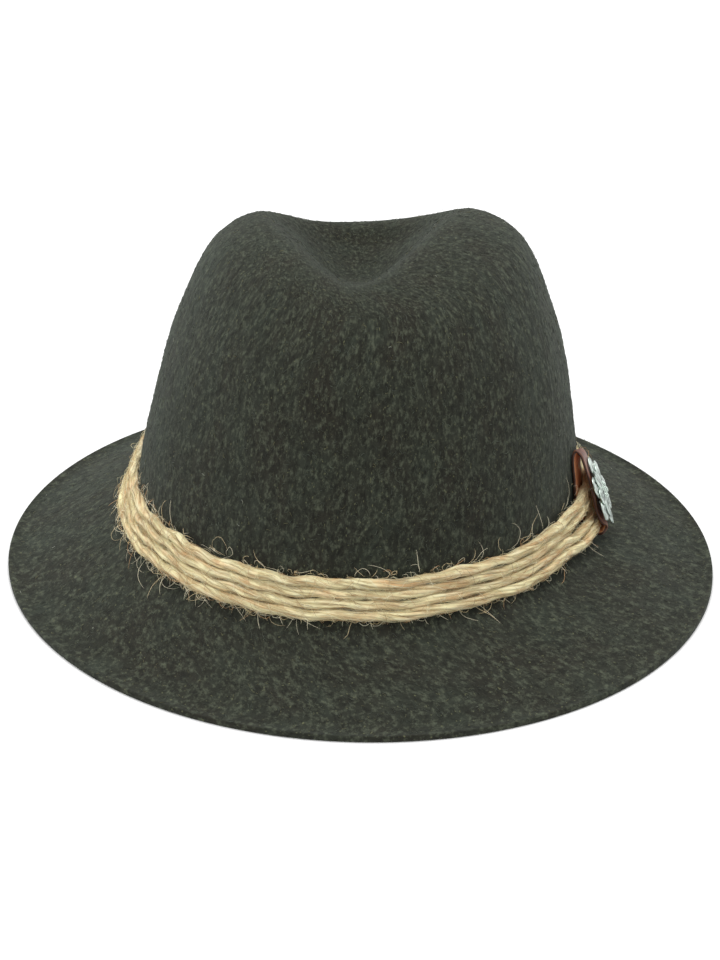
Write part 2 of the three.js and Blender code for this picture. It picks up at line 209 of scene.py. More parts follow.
def felt_rings():
    """All rings of the felt's outer surface, from the brim's edge into the dent."""
    crown = [crown_ring(*row) for row in CROWN_ROWS]
    ridge = (*crown[-1][:-1], DENT_TURN)
    dent = [dent_ring(ridge, *row) for row in DENT_ROWS]
    return [brim_ring(*row) for row in BRIM_ROWS] + crown[:-1] + [ridge] + dent


RINGS = felt_rings()
DENT_FLOOR = np.array([RINGS[-1][7], DENT_CENTRE, FELT_THICKNESS + BRIM_DROP + CROWN_HEIGHT - DENT_DEPTH])


def ring_points(ring, angles):
    """A ring's points at many angles."""
    half_width, front, back, z_front, z_side, z_back, taper, shift, turn = ring
    cosine = np.cos(angles)
    tilt = (z_front - z_back) / 2
    saddle = ((z_front + z_back) / 2 - z_side) / 2
    x = half_width * np.sin(angles) * (1 - taper * cosine)
    y = (back - front) / 2 - (back + front) / 2 * cosine
    z = z_side + saddle + tilt * cosine + saddle * np.cos(2 * angles)
    c, s = math.cos(turn), math.sin(turn)
    return np.stack([c * x - s * y + shift, s * x + c * y, z], axis=-1)


def spline_points(controls, places, closed=False):
    """Points of a centripetal spline through controls (rows, columns, 3), one place in each column."""
    if closed:
        ends = np.concatenate([controls[-1:], controls, controls[:2]])
        last = len(controls) - 1
    else:
        first = 2 * controls[:1] - controls[1:2]
        final = 2 * controls[-1:] - controls[-2:-1]
        ends = np.concatenate([first, controls, final])
        last = len(controls) - 2
    row = np.clip(np.floor(places).astype(int), 0, last)
    t = (places - row)[:, None]
    column = np.arange(len(places))
    p0, p1, p2, p3 = (ends[row + k, column] for k in range(4))
    d0, d1, d2 = (
        np.sqrt(np.maximum(np.linalg.norm(b - a, axis=-1, keepdims=True), 1e-9))
        for a, b in ((p0, p1), (p1, p2), (p2, p3))
    )
    t1 = ((p1 - p0) / d0 - (p2 - p0) / (d0 + d1) + (p2 - p1) / d1) * d1
    t2 = ((p2 - p1) / d1 - (p3 - p1) / (d1 + d2) + (p3 - p2) / d2) * d1
    return p1 + t * (t1 + t * (3 * (p2 - p1) - 2 * t1 - t2 + t * (2 * (p1 - p2) + t1 + t2)))


def felt_points(angles, places):
    """Points of the felt's outer surface, one for each angle and place."""
    controls = [ring_points(ring, angles) for ring in RINGS]
    controls.append(np.broadcast_to(DENT_FLOOR, controls[0].shape))
    controls.append(ring_points(RINGS[-1], angles + math.pi))
    return spline_points(np.array(controls), places)


NUDGE = 0.02


def felt_slopes(angles, places):
    """The felt's changes per radian round it and per place along its meridians."""
    around = felt_points(angles + NUDGE, places) - felt_points(angles - NUDGE, places)
    low = np.maximum(places - NUDGE, 0)
    along = felt_points(angles, places + NUDGE) - felt_points(angles, low)
    return around / (2 * NUDGE), along / (places + NUDGE - low)[:, None]


def felt_normals(angles, places):
    """Outward directions of the felt's surface."""
    around, along = felt_slopes(angles, places)
    return unit(np.cross(around, along))


# Wave lengths and depths of the felt's unevenness, and how many waves of each length cross it
DIP_WAVES = [(60 * MM, 0.22 * MM), (27 * MM, 0.12 * MM), (11 * MM, 0.05 * MM)]
DIP_COUNT = 5


def felt_dips(points):
    """How far the soft felt stands out or in at points of its surface: slow waves all over it."""
    rng = np.random.default_rng(11)
    height = np.zeros(len(points))
    for length, depth in DIP_WAVES:
        for _ in range(DIP_COUNT):
            way = unit(rng.normal(size=3))
            height += depth * np.sin(points @ way * FULL_TURN / length + rng.uniform(0, FULL_TURN)) / 2
    return height


def felt_skin(angles, places, height=0.0):
    """Points on the uneven felt, or at a height above it."""
    points = felt_points(angles, places)
    lift = felt_dips(points) * np.clip(places - FLAT_PLACE, 0, 1) + height
    return points + felt_normals(angles, places) * lift[:, None]


def grid(angles, places):
    """Every place with every angle, places slowest, as two flat arrays."""
    return np.tile(angles, len(places)), np.repeat(places, len(angles))


def even_angles(count):
    """Angles round the hat."""
    return np.arange(count) * FULL_TURN / count


# Meshes and materials
def mesh_object(name, points, faces, material):
    """A new mesh object from points and lists of corners."""
    mesh = bpy.data.meshes.new(name)
    mesh.from_pydata(points.tolist(), [], faces)
    mesh.polygons.foreach_set("use_smooth", np.full(len(mesh.polygons), True))
    mesh.materials.append(material)
    mesh.validate()
    mesh.update()
    piece = bpy.data.objects.new(name, mesh)
    bpy.context.scene.collection.objects.link(piece)
    return piece


ATTRIBUTE_KINDS = {1: ("FLOAT", "value"), 3: ("FLOAT_VECTOR", "vector"), 4: ("FLOAT_COLOR", "color")}


def store(piece, name, values):
    """Stores a number, a vector or a colour for each point of a piece."""
    kind, field = ATTRIBUTE_KINDS[values.size // len(values)]
    layer = piece.data.attributes.new(name, kind, "POINT")
    layer.data.foreach_set(field, values.astype(np.float32).ravel())


def finish_piece(piece, slot, *nodes):
    """Fastens a piece to the hat and hides the imported parts, if any, that it stands for."""
    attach(piece, "root")
    if nodes:
        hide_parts(*nodes)


def ring_quads(rows, columns, start=0, closed_rows=False):
    """Quads over a grid of points whose columns close on themselves."""
    lower_rows = np.arange(rows if closed_rows else rows - 1)
    row, column = np.meshgrid(lower_rows, np.arange(columns), indexing="ij")
    up = (row + 1) % rows
    side = (column + 1) % columns
    corners = [row * columns + column, row * columns + side, up * columns + side, up * columns + column]
    return (np.stack(corners, axis=-1).reshape(-1, 4) + start).tolist()


def faces_to_poles(rows, columns):
    """Faces over rings of points that close in two poles, which are the last two points."""
    faces = ring_quads(rows, columns)
    pole = rows * columns
    for column in range(columns):
        side = (column + 1) % columns
        faces.append([side, column, pole])
        faces.append([pole - columns + column, pole - columns + side, pole + 1])
    return faces


def faces_to_caps(rows, columns):
    """Faces over rings of points, with one flat face on each end."""
    last = (rows - 1) * columns
    caps = [list(range(columns - 1, -1, -1)), list(range(last, last + columns))]
    return ring_quads(rows, columns) + caps


def srgb(red, green, blue):
    """A screen colour of 0 to 255 as the linear colour that shaders take."""
    shares = np.array([red, green, blue]) / 255
    return tuple(np.where(shares <= 0.04045, shares / 12.92, ((shares + 0.055) / 1.055) ** 2.4))


class Finish:
    """A material that is built node by node on one shader."""

    def __init__(self, name, roughness, **sockets):
        self.material = bpy.data.materials.new(name)
        self.material.use_nodes = True
        self.tree = self.material.node_tree
        self.shader = self.tree.nodes["Principled BSDF"]
        self.shader.inputs["Roughness"].default_value = roughness
        for socket, value in sockets.items():
            self.shader.inputs[socket.replace("_", " ")].default_value = value

    def add(self, kind, inputs=(), **settings):
        """A node with its settings, and its sockets linked or set."""
        node = self.tree.nodes.new("ShaderNode" + kind)
        for key, value in settings.items():
            setattr(node, key, value)
        for socket, value in dict(inputs).items():
            self.put(node.inputs[socket], value)
        return node

    def put(self, socket, value):
        """Links an output to a socket, or sets the socket."""
        if isinstance(value, bpy.types.NodeSocket):
            self.tree.links.new(value, socket)
        else:
            socket.default_value = value

    def stored(self, name, output="Vector"):
        """What a piece stores under a name."""
        return self.add("Attribute", attribute_name=name).outputs[output]

    def noise(self, where, size, detail=2.0, roughness=0.5):
        """Soft noise with features of a size."""
        inputs = {"Vector": where, "Scale": 1 / size, "Detail": detail, "Roughness": roughness}
        return self.add("TexNoise", inputs).outputs["Fac"]

    def between(self, value, low, high, start=0.0, end=1.0):
        """A value brought from one range to another, and held there."""
        inputs = {"Value": value, "From Min": low, "From Max": high, "To Min": start, "To Max": end}
        return self.add("MapRange", inputs).outputs["Result"]

    def mix(self, share, first, second):
        """Two colours mixed."""
        node = self.add("Mix", data_type="RGBA")
        self.put(node.inputs["Factor"], share)
        for socket, value in ((node.inputs[6], first), (node.inputs[7], second)):
            self.put(socket, value if isinstance(value, bpy.types.NodeSocket) else (*value, 1))
        return node.outputs[2]

    def paint(self, under, value, low, high, cover, over):
        """A colour laid over another as a value goes from low to high, up to a cover."""
        return self.mix(self.between(value, low, high, 0, cover), under, over)

    def plus(self, first, second):
        """Two numbers added."""
        node = self.add("Math", operation="ADD")
        self.put(node.inputs[0], first)
        self.put(node.inputs[1], second)
        return node.outputs[0]

    def bump(self, height, distance, strength=1.0, under=None):
        """Relief of a depth, on top of other relief."""
        inputs = {"Height": height, "Distance": distance, "Strength": strength}
        if under is not None:
            inputs["Normal"] = under
        return self.add("Bump", inputs).outputs["Normal"]

    def colour(self, value):
        """The shader's colour."""
        self.put(self.shader.inputs["Base Color"], value)

    def relief(self, normal):
        """The shader's relief."""
        self.put(self.shader.inputs["Normal"], normal)


def felt_finish():
    """Wool felt: dark green with brown-black clouds, and paler fibres that run along the meridians."""
    felt = Finish("felt", 0.95, Sheen_Weight=0.1, Sheen_Roughness=0.6,
                  Sheen_Tint=(0.52, 0.62, 0.55, 1), Specular_IOR_Level=0.15)
    flow = felt.stored("flow")
    clouds = felt.noise(flow, 16 * MM, 3)
    blots = felt.noise(flow, 4.5 * MM, 2, 0.6)
    streaks = felt.noise(flow, 1.9 * MM, 4, 0.75)
    dark = felt.noise(flow, 2.2 * MM, 4, 0.75)
    specks = felt.noise(flow, 0.8 * MM, 1)
    colour = felt.paint(srgb(40, 38, 31), clouds, 0.36, 0.64, 1, srgb(44, 48, 40))
    colour = felt.paint(colour, blots, 0.35, 0.66, 0.7, srgb(28, 27, 21))
    colour = felt.paint(colour, streaks, 0.49, 0.67, 0.8, srgb(80, 85, 70))
    colour = felt.paint(colour, dark, 0.49, 0.67, 0.85, srgb(20, 19, 15))
    colour = felt.paint(colour, specks, 0.70, 0.76, 0.7, srgb(98, 100, 72))
    felt.colour(colour)
    relief = felt.bump(felt.between(blots, 0.35, 0.66), 0.2 * MM)
    relief = felt.bump(streaks, 0.22 * MM, 0.8, relief)
    felt.relief(felt.bump(felt.noise(flow, 0.35 * MM, 2), 0.12 * MM, 0.8, relief))
    return felt.material


def fibre_finish(name, sheen, tint):
    """Fine fibres, each in the colour that its piece stores."""
    fibre = Finish(name, 0.8, Sheen_Weight=sheen, Sheen_Tint=tint)
    fibre.colour(fibre.stored("tint", "Color"))
    return fibre.material


# Felt body
FELT_ANGLES = 320
EDGE_ROUND = 0.9 * MM
EDGE_SQUARE = 0.55
RIM_ROWS = 11
INWARD_PLACE = 0.2
FLOW_RADIUS = 90 * MM
FLOW_ALONG = 0.72
FLOW_NARROWS_OVER = 4
FLOW_LEAST_SHARE = 0.08

# Even rows of points: the place where each stretch of them starts, and how many it has
FIRST_PLACE = 0.25
LAST_PLACE = POLE_PLACE - 0.06
OUTER_STRETCHES = [(FIRST_PLACE, 3), (FLAT_PLACE, 33), (FOOT_PLACE - 1, 35), (FOOT_PLACE + 2, 75)]
INNER_STRETCHES = [(FIRST_PLACE, 15), (FOOT_PLACE - 1, 13), (FOOT_PLACE + 1, 39)]


def row_places(stretches):
    """The places of all rows, the last one included."""
    ends = [start for start, _ in stretches[1:]] + [LAST_PLACE]
    even = [np.linspace(start, end, rows, endpoint=False) for (start, rows), end in zip(stretches, ends)]
    return np.concatenate([*even, [LAST_PLACE]])


def rim_rows(angles):
    """Rows of points round the brim's cut edge, from its top to its underside."""
    edge = felt_points(angles, np.zeros(len(angles)))
    inward = unit((felt_points(angles, np.full(len(angles), INWARD_PLACE)) - edge) * [1, 1, 0])
    rows = []
    for turn in np.linspace(math.pi / 2, -math.pi / 2, RIM_ROWS):
        out = EDGE_ROUND * abs(math.cos(turn)) ** EDGE_SQUARE
        up = math.copysign(abs(math.sin(turn)) ** EDGE_SQUARE, turn) * FELT_THICKNESS / 2
        points = edge + inward * (EDGE_ROUND - out)
        points[:, 2] = FELT_THICKNESS / 2 + up
        rows.append(points)
    return rows


def lengths_along(rows):
    """Lengths from the first row of points to each row."""
    steps = np.linalg.norm(np.diff(rows, axis=0), axis=-1)
    return np.concatenate([np.zeros((1, steps.shape[1])), np.cumsum(steps, axis=0)])


def felt_flow(angles, places, lengths):
    """Where the felt's fibres lie: evenly round the hat, and drawn out along the meridians."""
    shrink = np.clip((POLE_PLACE - places) / FLOW_NARROWS_OVER, FLOW_LEAST_SHARE, 1)
    radius = FLOW_RADIUS * shrink
    return np.stack([radius * np.cos(angles), radius * np.sin(angles), FLOW_ALONG * lengths], axis=-1)


def make_felt():
    """The crown and brim: fine outer and inner surfaces and the cut edge between them."""
    angles = even_angles(FELT_ANGLES)
    outer_places = row_places(OUTER_STRETCHES)
    inner_places = row_places(INNER_STRETCHES)
    a, p = grid(angles, outer_places)
    outer = felt_skin(a, p).reshape(len(outer_places), -1, 3)
    a, p = grid(angles, inner_places)
    inner = (felt_points(a, p) - FELT_THICKNESS * felt_normals(a, p)).reshape(len(inner_places), -1, 3)
    inner[..., 2] = np.maximum(inner[..., 2], 0)
    inner[inner_places <= FLAT_PLACE, :, 2] = 0
    rows = np.concatenate([inner[::-1], np.array(rim_rows(angles))[::-1], outer])
    places = np.concatenate([inner_places[::-1], np.zeros(RIM_ROWS), outer_places])
    lengths = lengths_along(rows)
    lengths += lengths.max() - lengths[-1]
    flow = felt_flow(np.broadcast_to(angles, lengths.shape), places[:, None], lengths)
    poles = np.array([DENT_FLOOR - FELT_THICKNESS * UP, DENT_FLOOR])
    points = np.concatenate([rows.reshape(-1, 3), poles])
    piece = mesh_object("felt_shell", points, faces_to_poles(len(rows), FELT_ANGLES), felt_finish())
    ends = np.stack([flow[0].mean(axis=0), flow[-1].mean(axis=0)])
    store(piece, "flow", np.concatenate([flow.reshape(-1, 3), ends]))
    finish_piece(piece, "felt", "felt_body")


# Fibres
FIBRE_SIDES = 3
FIBRE_TAPER = 0.4
SHADES = (0.8, 1.2)


def fibre_piece(name, paths, radius, facing, colours, material):
    """Many fine fibres as one mesh: three-sided, closed and pointed at both ends."""
    count, stations = paths.shape[:2]
    radii = np.sin(math.pi * np.linspace(0, 1, stations)) ** FIBRE_TAPER * radius[:, None]
    along = unit(np.gradient(paths, axis=1))
    side = unit(np.cross(along, facing[:, None, :]))
    over = np.cross(along, side)
    middle = slice(1, stations - 1)
    section = turned(even_angles(FIBRE_SIDES), side[:, middle, None, :], over[:, middle, None, :])
    rings = paths[:, middle, None, :] + section * radii[:, middle, None, None]
    points = np.concatenate([paths[:, :1], rings.reshape(count, -1, 3), paths[:, -1:]], axis=1)
    each = points.shape[1]
    tail = each - 1 - FIBRE_SIDES
    quads = np.array(ring_quads(stations - 2, FIBRE_SIDES, start=1))
    tips = np.array([
        [0, 2, 1],
        [0, 3, 2],
        [0, 1, 3],
        [tail, tail + 1, each - 1],
        [tail + 1, tail + 2, each - 1],
        [tail + 2, tail, each - 1],
    ])
    starts = np.arange(count)[:, None, None] * each
    faces = (quads + starts).reshape(-1, 4).tolist() + (tips + starts).reshape(-1, 3).tolist()
    piece = mesh_object(name, points.reshape(-1, 3), faces, material)
    store(piece, "tint", np.repeat(colours, each, axis=0))
    return piece


def pick_colours(rng, count, palette):
    """Random colours of a palette of colours and weights, a little lighter or darker each."""
    colours = np.array([srgb(*colour) for colour, _ in palette])
    weights = np.array([weight for _, weight in palette], dtype=float)
    chosen = colours[rng.choice(len(palette), count, p=weights / weights.sum())]
    return np.column_stack([chosen * rng.uniform(*SHADES, (count, 1)), np.ones(count)])


# Loose fibres of the felt: turn and bend in radians, and the few that stand further off it
FELT_FIBRES = 14000
FELT_FIBRE_STATIONS = 4
FELT_FIBRE_LEAST = 0.8 * MM
FELT_FIBRE_TURN = 1.2
FELT_FIBRE_BEND = 1
FELT_FIBRE_RISE = (0.1 * MM, 0.09 * MM)
FELT_FIBRE_RADII = (0.045 * MM, 0.08 * MM)
FELT_FIBRE_SINK = 0.01 * MM
STANDING_SHARE = 0.05
STANDING_TIMES = 4
FELT_PALETTE = [
    ((66, 74, 64), 5),
    ((52, 58, 49), 5),
    ((88, 96, 82), 1.4),
    ((98, 95, 62), 0.9),
    ((24, 24, 19), 5),
    ((180, 184, 168), 0.05),
]
SCATTER_ROWS = 280
SCATTER_COLUMNS = 96
SCATTER_TOP = POLE_PLACE - 0.1


def scatter_on_felt(rng, count):
    """Random angles and places spread evenly over the felt's outer surface."""
    rows = (np.arange(SCATTER_ROWS) + 0.5) / SCATTER_ROWS * SCATTER_TOP
    a, p = grid(even_angles(SCATTER_COLUMNS), rows)
    around, along = felt_slopes(a, p)
    area = np.linalg.norm(np.cross(around, along), axis=-1)
    cell = rng.choice(len(area), count, p=area / area.sum())
    angles = a[cell] + rng.uniform(-0.5, 0.5, count) * FULL_TURN / SCATTER_COLUMNS
    return angles, p[cell] + rng.uniform(-0.5, 0.5, count) * SCATTER_TOP / SCATTER_ROWS


def make_felt_fibres():
    """Loose wool fibres that lie on the felt, mostly along its meridians."""
    rng = np.random.default_rng(21)
    angles, places = scatter_on_felt(rng, FELT_FIBRES)
    around, along = felt_slopes(angles, places)
    length = FELT_FIBRE_LEAST + rng.gamma(3, 0.4, FELT_FIBRES) * MM
    way = rng.normal(0, FELT_FIBRE_TURN, FELT_FIBRES)
    bend = rng.normal(0, FELT_FIBRE_BEND, FELT_FIBRES)
    share = np.linspace(-0.5, 0.5, FELT_FIBRE_STATIONS)
    turn = way[:, None] + bend[:, None] * share
    reach = length[:, None] * share
    path_angles = angles[:, None] + reach * np.sin(turn) / np.linalg.norm(around, axis=-1)[:, None]
    path_places = places[:, None] + reach * np.cos(turn) / np.linalg.norm(along, axis=-1)[:, None]
    path_places = np.clip(path_places, 0.05, POLE_PLACE - 0.02)
    rise = np.abs(rng.normal(*FELT_FIBRE_RISE, FELT_FIBRES))
    rise = np.where(rng.uniform(size=FELT_FIBRES) < STANDING_SHARE, rise * STANDING_TIMES, rise)
    height = rise[:, None] * (1 - (2 * share) ** 2) - FELT_FIBRE_SINK
    paths = felt_skin(path_angles.ravel(), path_places.ravel(), height.ravel())
    paths = paths.reshape(FELT_FIBRES, FELT_FIBRE_STATIONS, 3)
    radius = rng.uniform(*FELT_FIBRE_RADII, FELT_FIBRES)
    colours = pick_colours(rng, FELT_FIBRES, FELT_PALETTE)
    material = fibre_finish("felt_fibre", 0.1, (0.5, 0.6, 0.5, 1))
    normals = felt_normals(angles, places)
    piece = fibre_piece("felt_fibres", paths, radius, normals, colours, material)
    finish_piece(piece, "felt")


# Cord band
def angle_from_sleeve(angle):
    """How far an angle lies from the sleeve's middle."""
    return abs((angle - SLEEVE_ANGLE + math.pi) % FULL_TURN - math.pi)


def foot_radius():
    """How far the crown's foot lies from the hat's middle at the sleeve."""
    foot = felt_points(np.array([SLEEVE_ANGLE]), np.array([float(FOOT_PLACE)]))[0]
    return math.hypot(foot[0], foot[1])


SLEEVE_HALF_ANGLE = SLEEVE_LENGTH / 2 / foot_radius()


def gather_at(angle, fade_angle=GATHER_ANGLE):
    """How strongly the sleeve gathers the cords at an angle."""
    past = (angle_from_sleeve(angle) - GATHER_HOLD * SLEEVE_HALF_ANGLE) / fade_angle
    return 0.5 + 0.5 * math.cos(math.pi * min(max(past, 0), 1))


def drop_at(angle):
    """How far the sleeve holds the cords down, which fades slowly behind it."""
    behind = math.sin(angle - SLEEVE_ANGLE) > 0
    return PAIR_DROP * gather_at(angle, DROP_ANGLE if behind else GATHER_ANGLE)


RINGS_BELOW = 1.5
RINGS_ABOVE = 3
LINE_STEPS = 180


def line_off_felt(angle, distance):
    """A line up the crown's foot at one angle, a distance off the felt."""
    places = FOOT_PLACE - RINGS_BELOW + (RINGS_BELOW + RINGS_ABOVE) * np.arange(LINE_STEPS + 1) / LINE_STEPS
    angles = np.full(len(places), angle)
    return felt_points(angles, places) + distance * felt_normals(angles, places)


def on_line(line, at):
    """A point on a line, by its place among the line's points."""
    low = min(int(at), len(line) - 2)
    return line[low] + (line[low + 1] - line[low]) * (at - low)


def walk(line, start_at, distance):
    """The place that a straight distance from a start leads to, up or down the line."""
    start = on_line(line, start_at)
    step = 1 if distance > 0 else -1
    at = math.ceil(start_at) if step > 0 else math.floor(start_at)
    while 0 <= at + step < len(line) and np.linalg.norm(line[at] - start) < abs(distance):
        at += step
    beyond = np.linalg.norm(line[at] - start)
    before = np.linalg.norm(line[at - step] - start)
    return at - step * (beyond - abs(distance)) / (beyond - before)


def strand_centres(angle):
    """The centres of the strands at one angle, from the lowest to the highest."""
    gather = gather_at(angle)
    line = line_off_felt(angle, CORD_DIAMETER / 2 + CORD_GAP + gather * (LEATHER_THICKNESS + LEATHER_GAP))
    at = LINE_STEPS * RINGS_BELOW / (RINGS_BELOW + RINGS_ABOVE)
    drop = drop_at(angle)
    if drop > 0:
        at = walk(line, at, -drop)
    centres = [on_line(line, at)]
    for strand in range(1, STRAND_COUNT):
        spread = gather * PAIR_SPREAD if strand == STRAND_COUNT // 2 else 0
        at = walk(line, at, CORD_DIAMETER + CORD_GAP + spread)
        centres.append(on_line(line, at))
    return np.array(centres)


CENTRE_ANGLES = 144
CENTRES = np.array([strand_centres(angle) for angle in even_angles(CENTRE_ANGLES)])


def strand_frames(strand, angles):
    """Centres, outward and upward ways of a strand at many angles."""
    def centre_at(wanted):
        place = (wanted % FULL_TURN) / FULL_TURN * CENTRE_ANGLES
        controls = np.broadcast_to(CENTRES[:, strand, None, :], (CENTRE_ANGLES, len(wanted), 3))
        return spline_points(controls, np.minimum(place, CENTRE_ANGLES - 1e-9), closed=True)
    centre = centre_at(angles)
    along = unit(centre_at(angles + NUDGE) - centre_at(angles - NUDGE))
    out = unit(np.cross(along, UP))
    return centre, out, np.cross(out, along)


WAVE_COUNT = 9


def loop_waves(rng, angles, low, high):
    """Random waves that close on themselves round the hat, from about -1 to 1."""
    total = np.zeros(np.shape(angles))
    for _ in range(WAVE_COUNT):
        total = total + np.sin(rng.integers(low, high) * angles + rng.uniform(0, FULL_TURN))
    return total / math.sqrt(WAVE_COUNT * 1.4)


PLY_COUNT = 9
PLY_STATIONS = 520
PLY_SIDES = 6
PLY_RADIUS = 0.74 * MM
PLY_OFFSET = 1.02 * MM
CORE_RADIUS = 1.5 * PLY_RADIUS
CORE_OFFSET = 0.1 * PLY_OFFSET
TWISTS = 7

# How far the cords wander outwards and upwards, all together and each by itself
BAND_SWAY = (0.18 * MM, 0.6 * MM)
OWN_SWAY = (0.18 * MM, 0.32 * MM)

# How much the plies change: the whole cord, a ply's distance from its middle, radius and turn
SWELL = 0.16
OFFSET_CHANGE = 0.14
RADIUS_CHANGE = 0.2
TURN_CHANGE = 0.5

# Coordinates of the fine threads along each ply, and of the stains, which all differ by ply and cord
LAY_RADIUS = 11
LAY_STEPS = (0.9, 17, 200)
STAIN_STRETCH = (1, 1, 2.5)
STAIN_STEPS = (3 * MM, 20 * MM)

# The shares of a cord's radius over which painted shade darkens its hollows
HOLLOW_SHADE_START = 0.92
HOLLOW_SHADE_RANGE = 0.5


def band_sway(angles):
    """The slow wander that all strands share: outwards and upwards."""
    rng = np.random.default_rng(31)
    loose = np.vectorize(lambda angle: 1 - gather_at(angle))(angles)
    out = loop_waves(rng, angles, 6, 15) * loose * BAND_SWAY[0]
    up = loop_waves(rng, angles, 5, 17) * loose * BAND_SWAY[1]
    return out, up


def strand_body(strand):
    """Centres and cross directions of a strand, with its own wander."""
    rng = np.random.default_rng(40 + strand)
    angles = even_angles(PLY_STATIONS)
    centre, out, over = strand_frames(strand, angles)
    sway_out, sway_up = band_sway(angles)
    sway_out = sway_out + loop_waves(rng, angles, 9, 40) * OWN_SWAY[0]
    sway_up = sway_up + loop_waves(rng, angles, 9, 40) * OWN_SWAY[1]
    return centre + out * sway_out[:, None] + over * sway_up[:, None], out, over


def cord_finish():
    """Flax-like fibre: cream, with tan stretches, fine dark lines along the plies, and painted shade in
    their hollows.
    """
    cord = Finish("cord", 0.9, Sheen_Weight=0.12, Sheen_Roughness=0.5, Sheen_Tint=(0.95, 0.9, 0.75, 1))
    lay = cord.stored("lay")
    stain = cord.stored("stain")
    # painted shade: the stored depth says how deep in the cord's hollows a point lies
    depth = cord.stored("depth", "Fac")
    patches = cord.noise(stain, 13 * MM, 2, 0.6)
    pale = cord.noise(stain, 7 * MM, 2)
    threads = cord.noise(lay, 1.0, 3, 0.7)
    lines = cord.noise(lay, 2.6, 3, 0.6)
    colour = cord.paint(srgb(240, 231, 184), patches, 0.42, 0.66, 1, srgb(218, 182, 134))
    colour = cord.paint(colour, pale, 0.5, 0.7, 0.7, srgb(242, 236, 198))
    colour = cord.paint(colour, threads, 0.5, 0.68, 0.45, srgb(180, 144, 98))
    colour = cord.paint(colour, lines, 0.55, 0.66, 0.35, srgb(150, 116, 76))
    # painted shade: darker where the plies lie deep inside the cord
    colour = cord.paint(colour, depth, 0, 1, 0.3, srgb(156, 126, 84))
    cord.colour(colour)
    relief = cord.bump(threads, 0.4 * MM)
    cord.relief(cord.bump(cord.noise(lay, 3.5, 2, 0.6), 0.35 * MM, 1, relief))
    return cord.material


def ply_rings(middle, radius):
    """Rings of points round a ply's closed line."""
    along = unit(np.roll(middle, -1, axis=0) - np.roll(middle, 1, axis=0))
    side = unit(np.cross(along, UP))
    upright = np.cross(side, along)
    ring = turned(even_angles(PLY_SIDES), side[:, None, :], upright[:, None, :])
    return middle[:, None, :] + ring * radius[:, None, None]


def make_strand(strand, material):
    """One cord: loosely twisted plies of changing thickness round its centre line."""
    rng = np.random.default_rng(60 + strand)
    angles = even_angles(PLY_STATIONS)
    centre, out, over = strand_body(strand)
    swell = 1 + SWELL * loop_waves(rng, angles, 8, 30)
    points, lay, stain, depth, faces = [], [], [], [], []
    for ply in range(PLY_COUNT):
        core = ply == PLY_COUNT - 1
        start = FULL_TURN * ply / (PLY_COUNT - 1) + rng.uniform(-0.2, 0.2)
        turn = start - TWISTS * angles + TURN_CHANGE * loop_waves(rng, angles, 4, 22)
        offset = (CORE_OFFSET if core else PLY_OFFSET) * swell
        offset = offset * (1 + OFFSET_CHANGE * loop_waves(rng, angles, 10, 50))
        radius = CORE_RADIUS if core else PLY_RADIUS
        radius = radius * (1 + RADIUS_CHANGE * loop_waves(rng, angles, 12, 60))
        rings = ply_rings(centre + turned(turn, out, over) * offset[:, None], radius)
        start = len(points) * PLY_STATIONS * PLY_SIDES
        faces += ring_quads(PLY_STATIONS, PLY_SIDES, start, closed_rows=True)
        points.append(rings.reshape(-1, 3))
        across = np.arange(PLY_SIDES) * LAY_STEPS[0] + LAY_STEPS[1] * ply + LAY_STEPS[2] * strand
        lay.append(np.column_stack([
            np.repeat(np.cos(angles) * LAY_RADIUS, PLY_SIDES),
            np.repeat(np.sin(angles) * LAY_RADIUS, PLY_SIDES),
            np.tile(across, PLY_STATIONS),
        ]))
        stain.append(points[-1] * STAIN_STRETCH + UP * (STAIN_STEPS[0] * ply + STAIN_STEPS[1] * strand))
        # painted shade in the cord's hollows, darker the nearer a point lies to the cord's middle
        reach = np.linalg.norm(rings - centre[:, None, :], axis=-1) / (PLY_OFFSET + PLY_RADIUS)
        depth.append(np.clip((HOLLOW_SHADE_START - reach) / HOLLOW_SHADE_RANGE, 0, 1).ravel())
    piece = mesh_object(f"cord_{strand + 1}", np.concatenate(points), faces, material)
    for name, values in (("lay", lay), ("stain", stain), ("depth", depth)):
        store(piece, name, np.concatenate(values))
    finish_piece(piece, "cord", f"cord_strand_{strand + 1}")


# Fine fibres of the cords: the ones that lie on them, and the curls at both edges of the band
LYING_FIBRES = 7900
LYING_STATIONS = 6
FUZZ_SHARE = 0.45
FUZZ_LENGTHS = (1.5 * MM, 5 * MM)
FUZZ_DRIFT_TIMES = 2.4
LYING_LENGTHS = (5 * MM, 16 * MM)
LYING_TURN = 0.1 / MM
LYING_RADII = (0.04 * MM, 0.08 * MM)
LYING_PALETTE = [
    ((232, 222, 178), 5),
    ((214, 192, 142), 4),
    ((190, 152, 104), 2),
    ((240, 236, 205), 2),
    ((150, 116, 76), 1),
]
CURLS = 1500
CURL_STATIONS = 13
CURL_LEAST = 2 * MM
CURL_HEIGHTS = (0.4 * MM, 1.9 * MM)
CURL_TURN = 0.38
CURL_RADII = (0.04 * MM, 0.07 * MM)
CURL_PALETTE = [
    ((255, 246, 214), 6),
    ((246, 224, 176), 3),
    ((226, 176, 122), 1.2),
]

# Where curls start: the share at the lower edge, and the share gathered at the hat's right side
LOWER_SHARE = 0.8
LOWER_START = 0.2 * MM
UPPER_START = 1.02 * STRAND_COUNT * CORD_DIAMETER
GATHERED_SHARE = 0.3
GATHERED_ANGLE = math.radians(-75)
GATHERED_SPREAD = math.radians(28)


